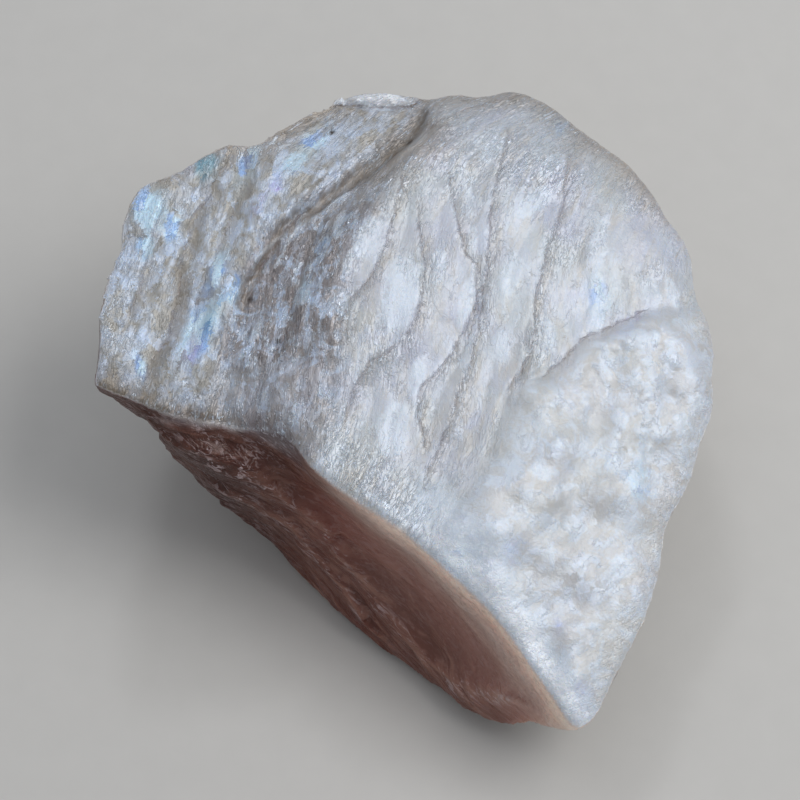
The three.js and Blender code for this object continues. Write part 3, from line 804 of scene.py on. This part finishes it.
class Recipe:
    """Short names for the nodes of one material."""

    def __init__(self, name):
        self.material = bpy.data.materials.new(name)
        self.material.use_nodes = True
        self.tree = self.material.node_tree
        self.shader = self.tree.nodes["Principled BSDF"]

    def node(self, kind, links=None, **settings):
        made = self.tree.nodes.new(kind)
        for key, value in settings.items():
            setattr(made, key, value)
        for socket, value in (links or {}).items():
            self.feed(made.inputs[socket], value)
        return made

    def feed(self, socket, value):
        """Links a socket to another one or sets its value. Colours are given without their alpha."""
        if isinstance(value, bpy.types.NodeSocket):
            self.tree.links.new(value, socket)
        else:
            socket.default_value = (*value, 1.0) if socket.type == "RGBA" else value

    def measure(self, name, kind="Fac"):
        return self.node("ShaderNodeAttribute", attribute_name=name).outputs[kind]

    def math(self, operation, first, *others):
        """The operation on the first two values, then on its result and the next value, and so on."""
        for other in others:
            first = self.node("ShaderNodeMath", {0: first, 1: other}, operation=operation).outputs[0]
        return first

    def times(self, *values):
        return self.math("MULTIPLY", *values)

    def plus(self, *values):
        return self.math("ADD", *values)

    def centred(self, value):
        return self.math("SUBTRACT", value, 0.5)

    def spread(self, value, low, high, start=0.0, end=1.0):
        """Value's range low to high as start to end, clamped."""
        return self.node("ShaderNodeMapRange", {0: value, 1: low, 2: high, 3: start, 4: end}).outputs[0]

    def vector(self, operation, first, *others):
        links = dict(enumerate((first, *others)))
        return self.node("ShaderNodeVectorMath", links, operation=operation).outputs[0]

    def stretched(self, vector, *scale):
        """A vector times a scale for each axis, or times one scale for all three."""
        return self.vector("MULTIPLY", vector, scale if len(scale) == 3 else scale * 3)

    def along(self, vector, way):
        links = {0: vector, 1: tuple(way)}
        return self.node("ShaderNodeVectorMath", links, operation="DOT_PRODUCT").outputs["Value"]

    def joined(self, *parts):
        return self.node("ShaderNodeCombineXYZ", dict(enumerate(parts))).outputs[0]

    def noise(self, vector, detail, roughness=0.55, distortion=0.0):
        made = self.node("ShaderNodeTexNoise", {
            "Vector": vector, "Scale": 1.0, "Detail": detail, "Roughness": roughness,
            "Distortion": distortion})
        return made.outputs["Fac"]

    def voronoi(self, vector, **settings):
        return self.node("ShaderNodeTexVoronoi", {"Vector": vector, "Scale": 1.0}, **settings)

    def folds(self, vector, detail, distortion):
        """Noise with sharp valleys, from 0 in them to about 0.6."""
        off = self.centred(self.noise(vector, detail, 0.55, distortion))
        return self.times(self.node("ShaderNodeMath", {0: off}, operation="ABSOLUTE").outputs[0], 3.0)

    def blend(self, base, other, share, kind="MIX"):
        made = self.node("ShaderNodeMix", data_type="RGBA", blend_type=kind)
        for socket, value in (("Factor", share), ("A", base), ("B", other)):
            self.feed(made.inputs[socket], value)
        return made.outputs["Result"]

    def layered(self, base, *layers):
        """A base colour with others over it in order, each with its share."""
        for colour, share in layers:
            base = self.blend(base, colour, share)
        return base

    def zoned(self, space, *zones):
        """A space, and another one on each zone: the zone's measure, its vector and the scale of that."""
        for zone, vector, scale in zones:
            inside = self.math("GREATER_THAN", self.measure(zone), 0.5)
            links = {0: inside, 4: space, 5: self.stretched(vector, *scale)}
            space = self.node("ShaderNodeMix", links, data_type="VECTOR").outputs[1]
        return space


# Scale from Blender's metres to the textures' millimetres.
PER_MM = 1 / MM


class StoneGrain:
    """The textures that the stone's colour, gloss and height share."""

    def __init__(self, recipe):
        place = recipe.stretched(recipe.node("ShaderNodeTexCoord").outputs["Object"], PER_MM)
        flow = recipe.measure("flow", "Vector")
        bed = recipe.joined(*(recipe.along(place, way) for way in (FACE_NORMAL, ALONG_FRONT, FRONT_NORMAL)))
        self.clouds = recipe.noise(recipe.stretched(place, 0.16), 2)
        self.mottle = recipe.noise(recipe.stretched(place, 0.55), 3, 0.62, 0.8)
        self.crumbs = recipe.noise(recipe.stretched(place, 2.4), 3, 0.62, 0.6)
        self.streaks = recipe.noise(recipe.stretched(flow, 1.1, 0.3, 0.6), 3, 0.6, 0.6)
        self.layers = recipe.noise(recipe.stretched(bed, 1.6, 0.20, 0.20), 3, 0.6, 0.6)
        self.chips = recipe.folds(recipe.stretched(bed, 1.8, 0.6, 0.6), 2, 0.9)
        self.wrinkles = recipe.folds(recipe.stretched(flow, 1.6, 0.7, 1.4), 2, 0.9)
        thread = recipe.zoned(
            recipe.stretched(flow, 3.2, 0.85, 2.0),
            ("shoulder", place, (2.2,)), ("sides", bed, (3.4, 0.6, 2.5)))
        self.thread = recipe.spread(recipe.noise(thread, 2, 0.6, 1.2), 0.52, 0.61)
        self.stir = recipe.joined(self.crumbs, self.mottle, self.streaks)
        self.plate(recipe, recipe.stretched(flow, 0.50, 0.20, 0.20))
        self.shard(recipe, recipe.zoned(
            recipe.stretched(flow, 1.9, 0.58, 1.5),
            ("plateau", flow, (1.0, 0.5, 0.9)), ("shoulder", place, (0.9,)),
            ("sides", bed, (1.1, 0.35, 0.8))))
        self.crack(recipe)

    def cells(self, recipe, space, strength):
        """Cells with ragged outlines: their space, three numbers of each, and the way it leans."""
        space = recipe.vector("MULTIPLY_ADD", self.stir, (strength,) * 3, space)
        number = recipe.voronoi(space).outputs["Color"]
        parts = recipe.node("ShaderNodeSeparateColor", {0: number}).outputs
        return space, parts, recipe.vector("SUBTRACT", number, (0.5, 0.5, 0.5))

    def plate(self, recipe, space):
        """Long plates side by side, with broken hairlines between them."""
        space, parts, self.plate_lean = self.cells(recipe, space, 1.2)
        self.tone = parts[0]
        rims = recipe.voronoi(space, feature="DISTANCE_TO_EDGE").outputs["Distance"]
        near = recipe.spread(rims, 0.026, 0.0)
        self.hairline = recipe.times(near, recipe.spread(self.mottle, 0.47, 0.60))

    def shard(self, recipe, space):
        """Small flakes that each face their own way: slivers, scales, sugary grains or chips of the sides."""
        _, parts, self.flake_lean = self.cells(recipe, space, 1.6)
        self.flake, self.hue = parts[1], parts[2]

    def crack(self, recipe):
        """The named cracks: a sharp dark line, and painted shade on the slope on its far side."""
        signed, distance, dark = recipe.node(
            "ShaderNodeSeparateXYZ", {0: recipe.measure("cracks", "Vector")}).outputs
        signed = recipe.plus(signed, recipe.times(recipe.centred(self.crumbs), 0.5))
        off = recipe.node("ShaderNodeMath", {0: signed}, operation="ABSOLUTE").outputs[0]
        waning = recipe.times(recipe.spread(self.mottle, 0.36, 0.54, 0.2, 1.0), dark)
        self.line = recipe.times(recipe.spread(off, 0.14, 0.02), recipe.spread(distance, 0.8, 0.45), waning)
        self.past_crack_shade = recipe.times(
            recipe.spread(signed, 0.0, 0.12), recipe.spread(signed, 1.3, 0.2),
            recipe.spread(distance, 1.6, 1.1), waning)


def face_colour(recipe, colours, grain):
    """Milky plates, beige cracks with painted shade beside them, grey satin, blue sheen and painted
    highlights.
    """
    measure, spread, plus, times = recipe.measure, recipe.spread, recipe.plus, recipe.times
    bright = measure("bright")
    flake, mottle = grain.flake, grain.mottle
    blotches = plus(spread(mottle, 0.45, 0.58), spread(flake, 0.0, 1.0, -0.3, 0.3))
    patchy = recipe.blend(colours.cream, colours.plate, spread(blotches, -0.1, 1.1, 0.15, 0.95))
    # The plateau's ash ground: partly its own grey, partly painted shade.
    scales = plus(spread(flake, 0.3, 0.9, -0.1, 0.35), spread(mottle, 0.35, 0.65, -0.25, 0.35), bright)
    flaky = recipe.blend(colours.ash, colours.opal, spread(scales, -0.15, 0.75, 0.0, 0.95))
    # The slope: a slate ground, partly painted shade, with opal slivers that are partly painted glints.
    slivers = plus(spread(flake, 0.45, 0.85, 0.0, 0.6), spread(mottle, 0.4, 0.62, -0.3, 0.6))
    satin = recipe.blend(colours.slate, colours.opal, spread(slivers, 0.0, 1.1))
    # Pale plates and grains, with the painted highlights that bright holds.
    pale_and_highlight = plus(bright, times(recipe.centred(grain.crumbs), 1.4))
    colour = recipe.layered(
        colours.milk,
        (colours.lilac, spread(grain.clouds, 0.40, 0.62)),
        (colours.cream, spread(grain.streaks, 0.48, 0.68, 0.0, 0.6)),
        (colours.plate, spread(grain.tone, 0.5, 0.9, 0.0, 0.3)),
        (colours.cream, spread(grain.tone, 0.3, 0.1, 0.0, 0.2)),
        (patchy, times(measure("shoulder"), 0.65)),
        (flaky, times(measure("plateau"), 0.9)),
        (satin, times(measure("slope"), 0.9)),
        # Painted shade along the rims.
        (colours.crease, times(measure("rim"), 0.62)),
        (colours.plate, spread(pale_and_highlight, 0.35, 0.85, 0.0, 0.7)),
        (colours.frost, spread(pale_and_highlight, 1.0, 1.5, 0.0, 0.8)),
    )
    # The painted sheens, each with the share of its flakes that glow.
    uneven = plus(spread(mottle, 0.3, 0.7, -0.5, 0.5), spread(flake, 0.0, 1.0, -0.35, 0.35))
    for name, pale in (("sky", 0.85), ("teal", 0.3), ("violet", 0.5)):
        share = measure(name)
        ragged = times(spread(plus(share, uneven), 0.2, 1.0), spread(share, 0.0, 0.6))
        shade = recipe.blend(getattr(colours, name), colours.glow, spread(grain.hue, 0.1, 0.5, 0.0, pale))
        colour = recipe.layered(colour, (shade, times(share, 0.4)), (shade, times(ragged, 0.85)))
    return recipe.layered(
        colour,
        # Dark cracks and creases: partly the stone's own, partly painted shade.
        (colours.crease, times(measure("dark"), 0.20)),
        (colours.crease, times(grain.hairline, 0.16)),
        # Painted shade on the far side of the named cracks.
        (colours.crease, times(grain.past_crack_shade, 0.5)),
        # Olive troughs: partly their own colour, partly painted shade.
        (colours.olive, times(measure("trough"), 0.85)),
        (colours.olive, measure("hem")),
        (colours.umber, times(grain.line, 0.4)),
        (colours.speck, measure("speck")),
    )


# Painted shade on the left end of the front: what it keeps of its red, green and blue.
LEFT_PAINTED_SHADE = (0.36, 0.25, 0.21)


def broken_colour(recipe, colours, grain):
    """The sides: buff stone in layers, and the dark front with its reddish hollow."""
    measure, spread, times = recipe.measure, recipe.spread, recipe.times
    # Painted highlight on the crests of the front's ridges.
    crest_highlight = times(measure("ridge"), spread(grain.layers, 0.42, 0.60))
    # The front's dark colour: partly its brown stone, partly painted shade, since it faces away from the
    # light.
    dark = recipe.layered(
        colours.umber,
        (colours.mauve, spread(grain.layers, 0.46, 0.66)),
        (colours.umber, spread(grain.mottle, 0.45, 0.6, 0.0, 0.7)),
        (colours.wine, times(measure("hollow"), 0.75)),
        (colours.mauve, times(crest_highlight, 0.8)),
    )
    dark = recipe.blend(dark, LEFT_PAINTED_SHADE, times(measure("left"), 0.85), "MULTIPLY")
    return recipe.layered(
        colours.buff,
        (colours.milk, spread(grain.clouds, 0.4, 0.65, 0.0, 0.7)),
        (colours.cream, spread(grain.layers, 0.45, 0.65, 0.0, 0.7)),
        (dark, measure("front")),
    )


def stone_colour(recipe, colours, grain):
    """The face and the sides, and what lies over the rim between them."""
    measure, spread, times = recipe.measure, recipe.spread, recipe.times
    # Painted glints: bright slivers where the surface crinkles, on the face and the front.
    slivers = recipe.blend(colours.plate, colours.glint, measure("sides"))
    return recipe.layered(
        face_colour(recipe, colours, grain),
        (broken_colour(recipe, colours, grain), measure("sides")),
        # Painted glow of light through the thin rim, on the strip under it.
        (colours.tan, times(measure("strip"), spread(grain.crumbs, 0.3, 0.55, 0.7, 1.0), 0.95)),
        # Painted shade where the face rolls over towards the front.
        (colours.roll_shade, times(measure("roll"), spread(grain.chips, 0.3, 0.05, 1.0, 0.7))),
        (slivers, times(grain.thread, measure("crinkle"), spread(grain.mottle, 0.38, 0.58, 0.05, 0.9))),
    )


def stone_normal(recipe, grain):
    """Wrinkles too small for the mesh, and the lean of each plate and flake."""
    measure, spread, plus, times = recipe.measure, recipe.spread, recipe.plus, recipe.times
    sides, shoulder, crinkle = measure("sides"), measure("shoulder"), measure("crinkle")
    wrinkled = times(plus(times(grain.wrinkles, 0.10), times(grain.thread, 0.09)), crinkle)
    crumbly = times(grain.crumbs, plus(times(shoulder, 0.01), 0.03))
    broken = plus(times(grain.layers, 0.40), times(grain.crumbs, 0.10), times(grain.chips, 0.20))
    height = plus(
        times(plus(wrinkled, crumbly), recipe.math("SUBTRACT", 1.0, sides)),
        times(shoulder, spread(grain.mottle, 0.38, 0.64), 0.016),
        times(plus(grain.hairline, times(grain.line, 6.0)), -0.015),
        times(sides, broken, spread(measure("front"), 0.0, 1.0, 1.0, 0.5)),
        times(grain.thread, crinkle, 0.04),
    )
    normal = recipe.node("ShaderNodeBump", {"Strength": 1.0, "Distance": MM, "Height": height}).outputs[0]
    for lean, strength in ((grain.plate_lean, 0.11), (grain.flake_lean, times(measure("tilt"), 0.55))):
        leaned = recipe.node("ShaderNodeVectorMath", {0: lean, 3: strength}, operation="SCALE").outputs[0]
        normal = recipe.vector("ADD", normal, leaned)
    return recipe.vector("NORMALIZE", normal)


def stone_material(colours):
    """Milky feldspar: pearly face, beige cracks, blue sheen, and brown broken sides."""
    recipe = Recipe("moonstone_milk")
    grain = StoneGrain(recipe)
    measure, spread, times = recipe.measure, recipe.spread, recipe.times
    crinkle, strip = measure("crinkle"), measure("strip")
    # The strip under the rim lets light through deeper than the rest.
    sockets = {
        "Base Color": stone_colour(recipe, colours, grain),
        "Roughness": recipe.plus(
            0.45, times(crinkle, -0.12), times(grain.thread, crinkle, -0.10), times(measure("front"), -0.03),
            times(recipe.centred(grain.crumbs), 0.3)),
        "Normal": stone_normal(recipe, grain),
        "Metallic": spread(measure("sides"), 0.0, 1.0, 0.18, 0.06),
        "IOR": 1.53,
        "Subsurface Weight": spread(strip, 0.0, 1.0, 0.6, 0.85),
        "Subsurface Radius": (1.0, 0.8, 0.65),
        "Subsurface Scale": spread(strip, 0.0, 1.0, 1.5 * MM, 8 * MM),
    }
    for socket, value in sockets.items():
        recipe.feed(recipe.shader.inputs[socket], value)
    return recipe.material


def floor_material(stage):
    """Pale matt card."""
    recipe = Recipe("pale_card")
    place = recipe.stretched(recipe.node("ShaderNodeTexCoord").outputs["Object"], 300)
    darker = [0.94 * part for part in stage.floor]
    recipe.feed(recipe.shader.inputs["Base Color"], recipe.blend(stage.floor, darker, recipe.noise(place, 4)))
    recipe.feed(recipe.shader.inputs["Roughness"], 0.85)
    return recipe.material


# ---------------------------------------------------------------- operators


class MOONSTONE_OT_stone(bpy.types.Operator):
    """Build the stone: its fine skin, its relief and its material"""

    bl_idname = "moonstone.stone"
    bl_label = "Stone"

    def execute(self, context):
        scene = context.scene
        stone = even_skin(scene.moonstone_relief)
        carve(Skin(stone.data), scene.moonstone_relief)
        for polygon in stone.data.polygons:
            polygon.use_smooth = True
        stone.data.materials.append(stone_material(scene.moonstone_colours))
        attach(stone, "root")
        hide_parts(SOLID)
        return {"FINISHED"}


# The lights: name, way to it from the stone, distance and size in metres, and colour.
LAMPS = [
    ("key", (0.58, 0.02, 0.82), 0.45, 0.28, (1.0, 0.985, 0.96)),
    ("fill", (-0.1, 0.25, 0.96), 0.60, 0.50, (0.93, 0.96, 1.0)),
    ("spark", (-0.10, 0.62, 0.78), 0.50, 0.07, (0.95, 0.97, 1.0)),
]
ROOM_COLOUR = (0.95, 0.97, 1.0, 1.0)
HALF_FLOOR = 1.5
VIEW_TARGET = Vector((-0.93, -0.25, 15.0)) * MM
SENSOR_WIDTH = 36.0
CLIP_START = 0.01


def stand(context, name, data, back, place):
    """Puts a light or the camera at a place, to look against the way back to it."""
    holder = bpy.data.objects.new(name, data)
    holder.location = place
    holder.rotation_euler = (-back).to_track_quat("-Z", "Y").to_euler()
    context.scene.collection.objects.link(holder)
    return holder


class MOONSTONE_OT_stage(bpy.types.Operator):
    """Build the floor, the lights and the camera"""

    bl_idname = "moonstone.stage"
    bl_label = "Stage"

    def execute(self, context):
        stage = context.scene.moonstone_stage
        self.floor(context, stage)
        self.lights(context, stage)
        self.camera(context, stage)
        return {"FINISHED"}

    def floor(self, context, stage):
        mesh = bpy.data.meshes.new("floor")
        corners = [(x * HALF_FLOOR, y * HALF_FLOOR, 0) for x, y in ((-1, -1), (1, -1), (1, 1), (-1, 1))]
        mesh.from_pydata(corners, [], [(0, 1, 2, 3)])
        mesh.materials.append(floor_material(stage))
        floor = bpy.data.objects.new("floor", mesh)
        context.scene.collection.objects.link(floor)

    def lights(self, context, stage):
        for name, direction, distance, size, colour in LAMPS:
            lamp = bpy.data.lights.new(name, "AREA")
            lamp.size = size
            lamp.energy = getattr(stage, name + "_watts")
            lamp.color = colour
            towards = Vector(direction).normalized()
            stand(context, name, lamp, towards, towards * distance)
        world = bpy.data.worlds.new("room")
        world.use_nodes = True
        room = world.node_tree.nodes["Background"].inputs
        room["Color"].default_value = ROOM_COLOUR
        room["Strength"].default_value = stage.daylight
        context.scene.world = world
        context.scene.view_settings.view_transform = "Standard"

    def camera(self, context, stage):
        data = bpy.data.cameras.new("view")
        data.lens = stage.lens
        data.sensor_width = SENSOR_WIDTH
        data.clip_start = CLIP_START
        back = Vector((0, -math.cos(stage.elevation), math.sin(stage.elevation)))
        away = stage.view_width * stage.lens / SENSOR_WIDTH
        context.scene.camera = stand(context, "view", data, back, VIEW_TARGET + back * away)


class MOONSTONE_PT_panel(bpy.types.Panel):
    """The stone's settings and its operators"""

    bl_idname = "MOONSTONE_PT_panel"
    bl_label = "Rough moonstone"
    bl_space_type = "VIEW_3D"
    bl_region_type = "UI"
    bl_category = "Moonstone"

    def draw(self, context):
        scene = context.scene
        groups = (
            (MOONSTONE_OT_stone, (scene.moonstone_relief, scene.moonstone_colours)),
            (MOONSTONE_OT_stage, (scene.moonstone_stage,)),
        )
        for operator, settings in groups:
            box = self.layout.box()
            for group in settings:
                for name in type(group).__annotations__:
                    box.prop(group, name)
            box.operator(operator.bl_idname)


CLASSES = (
    StoneSettings, ColourSettings, StageSettings, MOONSTONE_OT_stone, MOONSTONE_OT_stage, MOONSTONE_PT_panel)


def register():
    for made in CLASSES:
        bpy.utils.register_class(made)
    bpy.types.Scene.moonstone_relief = bpy.props.PointerProperty(type=StoneSettings)
    bpy.types.Scene.moonstone_colours = bpy.props.PointerProperty(type=ColourSettings)
    bpy.types.Scene.moonstone_stage = bpy.props.PointerProperty(type=StageSettings)


def unregister():
    del bpy.types.Scene.moonstone_stage
    del bpy.types.Scene.moonstone_colours
    del bpy.types.Scene.moonstone_relief
    for made in reversed(CLASSES):
        bpy.utils.unregister_class(made)


def main():
    register()
    bpy.ops.moonstone.stone()
    bpy.ops.moonstone.stage()


if __name__ == "__main__":
    main()
